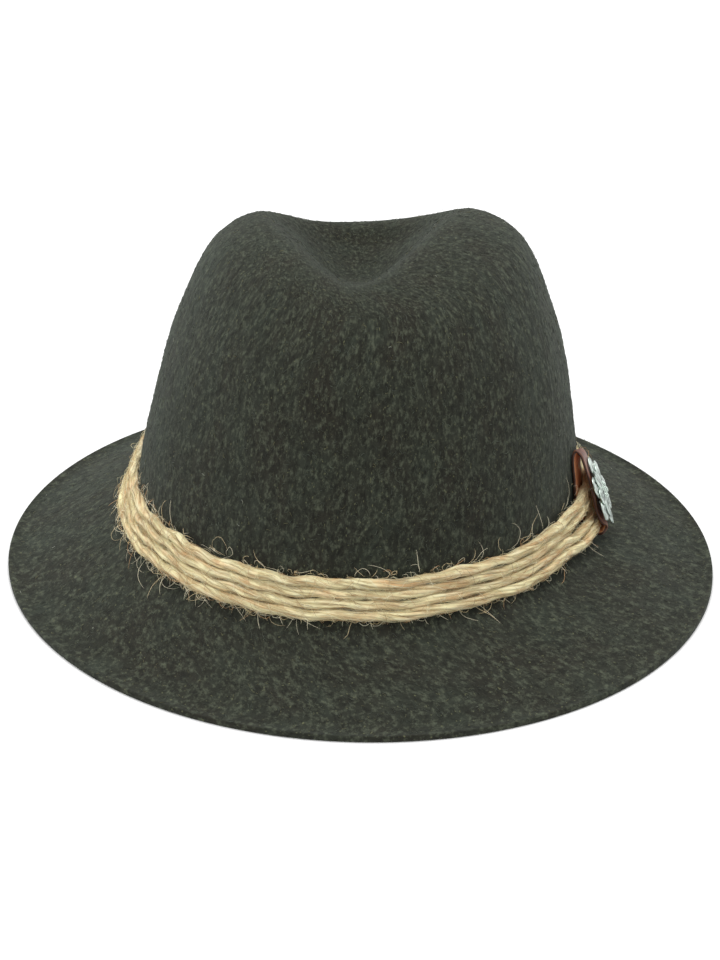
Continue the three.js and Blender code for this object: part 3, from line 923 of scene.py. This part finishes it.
def lying_fibres(rng):
    """Fibres that lie on the cords, nearly along them, and short fuzz that stands off them."""
    count = LYING_FIBRES
    fuzz = rng.uniform(size=count) < FUZZ_SHARE
    strand = rng.integers(0, STRAND_COUNT, count)
    angle = rng.uniform(0, FULL_TURN, count)
    length = np.where(fuzz, rng.uniform(*FUZZ_LENGTHS, count), rng.uniform(*LYING_LENGTHS, count))
    share = np.linspace(-0.5, 0.5, LYING_STATIONS)
    angles = angle[:, None] + (length[:, None] / foot_radius()) * share
    side = rng.uniform(-1.9, 1.9, count)
    drift = rng.normal(0, 0.9, count) * np.where(fuzz, FUZZ_DRIFT_TIMES, 1)
    turn = side[:, None] - LYING_TURN * share * length[:, None] + drift[:, None] * share
    height = np.where(fuzz, rng.gamma(2, 0.35, count), rng.uniform(0, 0.25, count)) * MM
    reach = PLY_OFFSET + PLY_RADIUS + height[:, None] * (1 - (2 * share) ** 2)
    paths = np.zeros((count, LYING_STATIONS, 3))
    for k in range(STRAND_COUNT):
        chosen = strand == k
        place = (angles[chosen] % FULL_TURN) / FULL_TURN * PLY_STATIONS
        low = np.floor(place).astype(int) % PLY_STATIONS
        blend = (place - np.floor(place))[..., None]
        centre, out, over = (
            values[low] * (1 - blend) + values[(low + 1) % PLY_STATIONS] * blend
            for values in strand_body(k)
        )
        paths[chosen] = centre + turned(turn[chosen], out, over) * reach[chosen][..., None]
    facing = unit(rng.normal(size=(count, 3)))
    return paths, rng.uniform(*LYING_RADII, count), facing


ARC_ANGLES = 72
ARC_PLACES = np.linspace(0, POLE_PLACE - 1, 521)


def arc_lengths():
    """Lengths along the meridians from the crown's foot, at a few angles and many places."""
    a, p = grid(even_angles(ARC_ANGLES), ARC_PLACES)
    lengths = lengths_along(felt_points(a, p).reshape(len(ARC_PLACES), ARC_ANGLES, 3))
    return lengths - lengths[np.searchsorted(ARC_PLACES, FOOT_PLACE)]


def over_felt(angles, lengths, heights):
    """Points over the felt at lengths up its meridians from the crown's foot."""
    arcs = arc_lengths()
    column = np.round(angles / FULL_TURN * ARC_ANGLES).astype(int) % ARC_ANGLES
    places = np.empty_like(lengths)
    for j in range(ARC_ANGLES):
        chosen = column == j
        places[chosen] = np.interp(lengths[chosen], arcs[:, j], ARC_PLACES)
    a, p = angles.ravel(), places.ravel()
    points = felt_points(a, p) + felt_normals(a, p) * heights.reshape(-1, 1)
    return points.reshape(*lengths.shape, 3)


def curled_walk(rng, way, length):
    """How far each fibre goes sideways and upwards from its start, in even steps that curl."""
    count = len(way)
    curl = rng.normal(0, CURL_TURN, count)
    turning = curl[:, None] * (1 + 0.7 * rng.normal(size=(count, CURL_STATIONS - 1)))
    heading = way[:, None] + np.cumsum(turning, axis=1)
    step = length[:, None] / (CURL_STATIONS - 1)
    steps = np.stack([step * np.cos(heading), step * np.sin(heading)])
    return np.concatenate([np.zeros((2, count, 1)), np.cumsum(steps, axis=2)], axis=2)


def curls(rng):
    """Loose fibres on the felt beside the cords, from the band's edges outwards in random curls."""
    count = CURLS
    angles = rng.uniform(0, FULL_TURN, count)
    gathered = rng.uniform(size=count) < GATHERED_SHARE
    angles = np.where(gathered, rng.normal(GATHERED_ANGLE, GATHERED_SPREAD, count), angles)
    lower = rng.uniform(size=count) < LOWER_SHARE
    starts = np.where(lower, LOWER_START, UPPER_START)
    way = np.where(lower, -1, 1) * rng.uniform(0.15, math.pi - 0.15, count)
    length = CURL_LEAST + rng.gamma(3.2, 1.5, count) * MM
    height = rng.uniform(*CURL_HEIGHTS, count)
    sideways, upwards = curled_walk(rng, way, length)
    share = np.linspace(0, 1, CURL_STATIONS)
    lift = height[:, None] * (0.35 + np.sin(math.pi * share) ** 0.8)
    lift = lift * (1 + 0.3 * rng.normal(size=(count, 1)))
    path_angles = angles[:, None] + sideways / foot_radius()
    paths = over_felt(path_angles, starts[:, None] + upwards, np.abs(lift))
    facing = unit(rng.normal(size=(count, 3)))
    return paths, rng.uniform(*CURL_RADII, count), facing


def make_cord_fibres():
    """The cords' fuzz, as two pieces."""
    rng = np.random.default_rng(77)
    material = fibre_finish("cord_fibre", 0.2, (0.95, 0.9, 0.75, 1))
    for name, palette, (paths, radius, facing) in (
        ("cord_fibres", LYING_PALETTE, lying_fibres(rng)),
        ("cord_curls", CURL_PALETTE, curls(rng)),
    ):
        colours = pick_colours(rng, len(paths), palette)
        piece = fibre_piece(name, paths, radius, facing, colours, material)
        finish_piece(piece, "cord")


# Leather sleeve
FACE_UP = np.array([-math.sin(SLEEVE_SLANT), math.cos(SLEEVE_SLANT)])
FACE_OFF = np.array([math.cos(SLEEVE_SLANT), math.sin(SLEEVE_SLANT)])


class BandPlane:
    """The upright plane across the band at one angle: x away from the crown's foot, y up."""

    def __init__(self, angle):
        place = np.array([float(FOOT_PLACE)])
        at = np.array([angle])
        foot = felt_points(at, place)[0]
        self.foot_height = foot[2]
        self.foot = foot * [1, 1, 0]
        self.out = unit(felt_normals(at, place)[0] * [1, 1, 0])
        self.centres = self.flat(strand_centres(angle))

    def flat(self, points):
        """Points in the plane's own two directions."""
        return np.stack([(points - self.foot) @ self.out, points[..., 2]], axis=-1)

    def in_space(self, points):
        """Points of the plane in the hat's frame."""
        return self.foot + points[..., :1] * self.out + points[..., 1:] * UP


def cords_reach(centres):
    """How far the cords reach, square to the sleeve's face."""
    return (centres @ FACE_OFF).max() + CORD_DIAMETER / 2


def on_face(height, distance):
    """A point at a height up the sleeve's face and a distance off its plane's corner."""
    return FACE_UP * height + FACE_OFF * distance


def sleeve_hem(lowest, back_line, wrap, face):
    """The leather's way under the lowest strand, from the face to where it meets the felt again."""
    touch = back_line[np.argmin(np.linalg.norm(back_line - lowest, axis=-1))]
    end = math.atan2(touch[1] - lowest[1], touch[0] - lowest[0]) % FULL_TURN - FULL_TURN
    slack = face - wrap - lowest @ FACE_OFF
    hem = []
    for share in (0, 0.25, 0.5, 0.75, 1):
        turn = SLEEVE_SLANT + (end - SLEEVE_SLANT) * share
        way = np.array([math.cos(turn), math.sin(turn)])
        hem.append(lowest + wrap * way + FACE_OFF * slack * (1 - share))
    return hem


def place_in_sleeve(angle):
    """0 at the sleeve's front mouth and 1 at its back end."""
    return ((angle - SLEEVE_ANGLE) / SLEEVE_HALF_ANGLE + 1) / 2


def stand_at(angle):
    """How far the sleeve's face stands off the cords."""
    return MOUTH_STAND * (1 - place_in_sleeve(angle))


def sleeve_controls(angle):
    """Points of the middle of the leather's thickness at one angle, round the cords."""
    plane = BandPlane(angle)
    centres = plane.centres
    to_back = place_in_sleeve(angle)
    slack = SLEEVE_SLACK * (2 * to_back - 1) ** 2
    off = LEATHER_GAP + LEATHER_THICKNESS / 2
    wrap = CORD_DIAMETER / 2 + off
    face = cords_reach(centres) + off + stand_at(angle)
    back_line = plane.flat(line_off_felt(angle, off))

    def on_back(height):
        return back_line[np.argmin(np.abs(back_line[:, 1] - height))]

    def pressed(point, strength):
        back = on_back(point[1])
        away = point - back
        closed = (LEATHER_THICKNESS + 2 * LEATHER_GAP) / np.linalg.norm(away)
        return back + away * (1 + (closed - 1) * strength)

    heights = centres @ FACE_UP
    highest = heights[-1]
    between = (heights[STRAND_COUNT // 2 - 1] + heights[STRAND_COUNT // 2]) / 2
    back_top = on_back(plane.foot_height + SLEEVE_TOP - ARCH_RISE - SLEEVE_SAG * to_back)
    face_top = on_face(back_top @ FACE_UP, face)
    line = [
        on_back(centres[1][1]),
        on_back(centres[-1][1]),
        on_back((centres[-1][1] + back_top[1]) / 2),
        back_top,
        (back_top + pressed(face_top, to_back)) / 2 + FACE_UP * ARCH_RISE,
        pressed(face_top, to_back),
        pressed(on_face((highest + face_top @ FACE_UP) / 2, face), to_back / 2),
        on_face(highest, face),
        on_face(between, face - SLEEVE_PINCH),
        on_face(heights[0] + CORD_DIAMETER / 2, face),
        *sleeve_hem(centres[0], back_line, wrap, face + slack),
    ]
    return plane.in_space(np.array(line)), plane


SLEEVE_STATIONS = 45
SLEEVE_STEPS = 120

# The leather's cut edges: the shares of a half turn for their rows, and how far they bulge and wave
EDGE_TURNS = (0.25, 0.5, 0.75)
EDGE_BULGE = 0.4 * LEATHER_THICKNESS
EDGE_WAVE = 0.35 * MM

# Its creases, and the control of its line that is pinched, with the reach of the painted shade round the
# pinch in controls
CREASE_DEPTH = 0.1 * MM
CREASE_LENGTH = 1.7 * MM
PINCHED_CONTROL = 8
PINCH_SHADE_REACH = 0.55


def leather_finish():
    """Vegetable-tanned leather: brown grain outside, paler flesh inside, painted dark red shade where it is
    pinched.
    """
    leather = Finish("leather", 0.5, Specular_IOR_Level=0.4, Coat_Weight=0.08, Coat_Roughness=0.35)
    at = leather.add("TexCoord").outputs["Object"]
    clouds = leather.noise(at, 6 * MM, 3)
    spots = leather.noise(at, 1.6 * MM, 3)
    colour = leather.paint(srgb(92, 54, 40), clouds, 0.35, 0.65, 1, srgb(128, 80, 58))
    colour = leather.paint(colour, spots, 0.5, 0.7, 0.5, srgb(66, 34, 26))
    # painted shade: dark red in the crease where the leather is pinched between the cord pairs
    colour = leather.mix(leather.stored("pinch_shade", "Fac"), colour, srgb(84, 36, 30))
    flesh = leather.paint(srgb(214, 140, 96), clouds, 0.3, 0.7, 1, srgb(236, 176, 128))
    colour = leather.mix(leather.stored("inside", "Fac"), colour, flesh)
    colour = leather.mix(leather.stored("cut", "Fac"), colour, srgb(62, 36, 28))
    leather.colour(colour)
    cells = leather.add("TexVoronoi", {"Vector": at, "Scale": 1 / (0.7 * MM)}).outputs["Distance"]
    relief = leather.bump(clouds, 0.3 * MM)
    relief = leather.bump(cells, 0.12 * MM, 0.6, relief)
    leather.relief(leather.bump(leather.noise(at, 0.25 * MM, 2), 0.05 * MM, 1, relief))
    return leather.material


def make_sleeve():
    """The leather loop with rounded, slightly wavy edges and soft creases."""
    rng = np.random.default_rng(91)
    steps = np.arange(SLEEVE_STEPS) / SLEEVE_STEPS
    wave = loop_waves(rng, steps * FULL_TURN, 2, 9) * EDGE_WAVE
    outer, inner, sideways = [], [], []
    for share in np.linspace(-1, 1, SLEEVE_STATIONS):
        controls, plane = sleeve_controls(SLEEVE_ANGLE + share * SLEEVE_HALF_ANGLE)
        count = len(controls)
        spread = np.broadcast_to(controls[:, None, :], (count, SLEEVE_STEPS, 3))
        line = spline_points(spread, steps * count, closed=True)
        tangent = unit(np.roll(line, -1, axis=0) - np.roll(line, 1, axis=0))
        along_band = np.cross(UP, plane.out)
        away = unit(np.cross(tangent, along_band))
        crease = CREASE_DEPTH * np.sin(line[:, 2] / CREASE_LENGTH + 5 * share) * (0.4 + 0.6 * abs(share))
        line = line + along_band * (wave * share ** 3)[:, None] + away * crease[:, None]
        outer.append(line + away * LEATHER_THICKNESS / 2)
        inner.append(line - away * LEATHER_THICKNESS / 2)
        sideways.append(along_band)

    def edge_rows(station, way):
        across = inner[station] - outer[station]
        return [
            outer[station] + across * (1 - math.cos(math.pi * turn)) / 2
            + sideways[station] * math.sin(math.pi * turn) * EDGE_BULGE * way
            for turn in EDGE_TURNS
        ]

    rows = np.array(outer + edge_rows(-1, 1) + inner[::-1] + edge_rows(0, -1)[::-1])
    faces = ring_quads(len(rows), SLEEVE_STEPS, closed_rows=True)
    piece = mesh_object("leather_loop", rows.reshape(-1, 3), faces, leather_finish())
    inside = np.zeros(len(rows))
    inside[SLEEVE_STATIONS:] = 1
    cut = np.zeros(len(rows))
    cut[SLEEVE_STATIONS:SLEEVE_STATIONS + len(EDGE_TURNS)] = 1
    cut[-len(EDGE_TURNS):] = 1
    # painted shade round the pinch between the cord pairs
    pinch_shade = np.exp(-((steps * count - PINCHED_CONTROL) / PINCH_SHADE_REACH) ** 2)
    store(piece, "inside", np.repeat(inside, SLEEVE_STEPS))
    store(piece, "cut", np.repeat(cut, SLEEVE_STEPS))
    store(piece, "pinch_shade", np.tile(pinch_shade, len(rows)))
    finish_piece(piece, "leather", "leather_sleeve")


# Metal flower
def pin_frame():
    """Places the flower's own frame on the sleeve's face: y up the face and z off it."""
    plane = BandPlane(PIN_ANGLE)
    heights = plane.centres @ FACE_UP
    middle = (heights[0] + heights[-1]) / 2 + PIN_RISE
    off_cords = LEATHER_GAP + LEATHER_THICKNESS + stand_at(PIN_ANGLE) + PIN_GAP
    distance = cords_reach(plane.centres) + off_cords
    origin = plane.in_space(on_face(middle, distance))
    upward = plane.out * FACE_UP[0] + UP * FACE_UP[1]
    outward = plane.out * FACE_OFF[0] + UP * FACE_OFF[1]
    between = plane.centres[STRAND_COUNT // 2 - 1:STRAND_COUNT // 2 + 1].mean(axis=0)
    sideways = np.cross(upward, outward)
    upward, outward = turned(-PIN_LEAN, upward, outward), turned(PIN_LEAN, outward, upward)
    turn = math.atan2(MOUTH_STAND, SLEEVE_LENGTH)
    axes = np.array([turned(-turn, sideways, outward), upward, turned(turn, outward, sideways)])
    return origin, axes, middle - between @ FACE_UP


# Petal layers: reach and width as shares of the flower's radius, height and droop in petal
# thicknesses, and the turn as a share of the angle between two petals
PETAL_LAYERS = [
    (1.00, 0.60, 0.50, 0.15, 0.0),
    (0.74, 0.46, 1.20, 0.25, 0.5),
]
PETAL_THICKNESS = 0.36 * PIN_HEIGHT
PETAL_STATIONS = 26
PETAL_SIDES = 28

# A petal's relief, in petal thicknesses: its mid rib, the veins beside it and the trough between
RIB_HEIGHT = 0.34
RIB_WIDTH = 0.16
VEIN_HEIGHT = 0.11
VEINS = 9
VEIN_SLANT = 11
TROUGH_DEPTH = 0.25

# The heart's heads: a core and grains on it, as shares of a head's radius
GRAINS = 26
GRAIN_SPREAD = 1.15
CORE_SHARE = 0.86
GRAIN_SHARES = (0.17, 0.23)
GOLDEN_ANGLE = math.pi * (3 - math.sqrt(5))
MIDDLE_HEAD = 1.2
POST_SIDES = 24
POST_SHINE = 0.6


def petal(reach, width, height, droop, turn):
    """A woolly cast petal with a mid rib and veins: points, faces and how proud each point is."""
    along = np.linspace(0.02, 1, PETAL_STATIONS) ** 0.9
    outline = along ** 0.75 * (1 - along ** 2.6) ** 0.62
    outline = outline / outline.max() * width / 2
    turns = even_angles(PETAL_SIDES)
    across = np.cos(turns)
    inwards = 1 - np.abs(across)
    top = np.maximum(np.sin(turns), 0)
    bottom = np.minimum(np.sin(turns), 0)
    u = along[:, None]
    rib = RIB_HEIGHT * np.exp(-(across / RIB_WIDTH) ** 2) * np.sqrt(np.maximum(1 - u, 0)) * top
    veins = VEIN_HEIGHT * np.sin(VEINS * np.abs(across) * math.pi / 2 - VEIN_SLANT * u)
    veins = veins * top * (1 - np.abs(across) ** 3)
    trough = -TROUGH_DEPTH * inwards * top * np.sin(math.pi * u)
    body = 0.62 * top ** 0.55 + 0.4 * bottom + rib + veins + trough
    thin = 0.35 + 0.65 * np.sqrt(np.maximum(1 - u ** 2, 0))
    z = (height - droop * u ** 2 + body * thin) * PETAL_THICKNESS
    x = across[None, :] * outline[:, None]
    y = np.broadcast_to(u * reach, x.shape)
    c, s = math.cos(turn), math.sin(turn)
    points = np.stack([c * x - s * y, s * x + c * y, z], axis=-1).reshape(-1, 3)
    proud = np.clip(0.45 + (rib + veins + trough) * 1.8, 0, 1)
    return points, faces_to_caps(PETAL_STATIONS, PETAL_SIDES), proud.ravel()


def ball(centre, radius, sides, rows):
    """A small ball."""
    lifts = np.linspace(-math.pi / 2, math.pi / 2, rows + 1)[1:-1]
    turn, lift = grid(even_angles(sides), lifts)
    body = np.column_stack([np.cos(lift) * np.cos(turn), np.cos(lift) * np.sin(turn), np.sin(lift)])
    points = np.concatenate([body, [-UP, UP]]) * radius + centre
    proud = np.clip(0.3 + 0.7 * (points[:, 2] - centre[2]) / radius, 0, 1)
    return points, faces_to_poles(rows - 1, sides), proud


def head(centre, radius, rng):
    """One flower head of the heart: a ball covered in fine grains."""
    parts = [ball(centre, radius * CORE_SHARE, 12, 8)]
    for k in range(GRAINS):
        z = 1 - (k + 0.5) / GRAINS * GRAIN_SPREAD
        turn = k * GOLDEN_ANGLE + rng.uniform(-0.2, 0.2)
        level = math.sqrt(max(1 - z * z, 0))
        way = np.array([level * math.cos(turn), level * math.sin(turn), z])
        parts.append(ball(centre + way * radius * CORE_SHARE, radius * rng.uniform(*GRAIN_SHARES), 6, 4))
    return parts


def post(drop):
    """The plain post that holds the flower through the leather."""
    low = -PIN_GAP - LEATHER_THICKNESS - SLEEVE_PINCH - POST_REACH
    turns = even_angles(POST_SIDES)
    ring = np.column_stack([np.cos(turns), np.sin(turns)]) * POST_DIAMETER / 2 - [0, drop]
    rows = [np.column_stack([ring, np.full(POST_SIDES, z)]) for z in (low, PIN_HEIGHT / 4)]
    points = np.concatenate(rows)
    return points, faces_to_caps(len(rows), POST_SIDES), np.full(len(points), POST_SHINE)


def silver_finish():
    """Antique silver: worn bright on the high relief, darkened in the hollows."""
    silver = Finish("antique_silver", 0.28, Metallic=1.0)
    at = silver.add("TexCoord").outputs["Object"]
    proud = silver.stored("proud", "Fac")
    clouds = silver.noise(at, 2.2 * MM, 3)
    wear = silver.plus(proud, silver.between(clouds, 0.3, 0.7, -0.22, 0.22))
    colour = silver.mix(silver.between(wear, 0.12, 0.62), srgb(58, 76, 68), srgb(226, 240, 230))
    silver.colour(colour)
    grain = silver.noise(at, 0.22 * MM, 2)
    silver.relief(silver.bump(grain, 0.07 * MM))
    return silver.material


def make_flower():
    """The edelweiss: two layers of petals, a heart of grained heads, and the post."""
    rng = np.random.default_rng(101)
    origin, axes, drop = pin_frame()
    ring = FULL_TURN / PETAL_COUNT
    radius = PIN_DIAMETER / 2
    parts = [post(drop)]
    for reach, width, height, droop, turn in PETAL_LAYERS:
        for k in range(PETAL_COUNT):
            size = rng.uniform(0.97, 1.0)
            parts.append(petal(reach * radius * size, width * radius, height, droop, (k + turn) * ring))
    bead = BEAD_DIAMETER / 2
    for k in range(PETAL_COUNT):
        x, y = BEAD_DIAMETER * math.sin(k * ring), BEAD_DIAMETER * math.cos(k * ring)
        parts += head(np.array([x, y, PIN_HEIGHT - 1.4 * bead]), bead, rng)
    middle_head = MIDDLE_HEAD * bead
    parts += head(np.array([0, 0, PIN_HEIGHT - middle_head]), middle_head, rng)
    points, faces, proud = [], [], []
    start = 0
    for part_points, part_faces, part_proud in parts:
        faces += [[corner + start for corner in face] for face in part_faces]
        points.append(part_points)
        proud.append(part_proud)
        start += len(part_points)
    placed = np.concatenate(points) @ axes + origin
    piece = mesh_object("edelweiss", placed, faces, silver_finish())
    store(piece, "proud", np.concatenate(proud))
    finish_piece(piece, "metal", "edelweiss_pin")


# Stage
FLOOR_REACH = 6.0
LIGHT_TARGET = (0, 0, 60 * MM)
SURROUND_STRENGTH = 0.75


def make_floor():
    """A plain pale floor."""
    floor = Finish("floor", 0.9, Specular_IOR_Level=0.1)
    floor.colour((0.86, 0.86, 0.86, 1))
    corners = np.array([[-1, -1, 0], [1, -1, 0], [1, 1, 0], [-1, 1, 0]]) * FLOOR_REACH
    piece = mesh_object("floor", corners, [[0, 1, 2, 3]], floor.material)


def soft_light(name, place, size, power):
    """A square light that faces the hat."""
    data = bpy.data.lights.new(name, "AREA")
    data.size = size
    data.energy = power
    lamp = bpy.data.objects.new(name, data)
    way = Vector(LIGHT_TARGET) - Vector(place)
    turn = way.to_track_quat("-Z", "Y").to_matrix().to_4x4()
    lamp.matrix_world = Matrix.Translation(Vector(place)) @ turn
    bpy.context.scene.collection.objects.link(lamp)


def make_light():
    """Soft studio light: a white surround, a large light above and one at the front left."""
    world = bpy.data.worlds.new("surround")
    world.use_nodes = True
    background = world.node_tree.nodes["Background"]
    background.inputs["Color"].default_value = (1, 1, 1, 1)
    background.inputs["Strength"].default_value = SURROUND_STRENGTH
    bpy.context.scene.world = world
    soft_light("above", place=(0.2, 0.35, 1.7), size=1.4, power=26)
    soft_light("front_left", place=(-1.3, -1.1, 1.2), size=1.0, power=10)


make_felt()
make_felt_fibres()
cord_material = cord_finish()
for number in range(STRAND_COUNT):
    make_strand(number, cord_material)
make_cord_fibres()
make_sleeve()
make_flower()
make_floor()
make_light()
bpy.context.scene.view_settings.view_transform = "Standard"
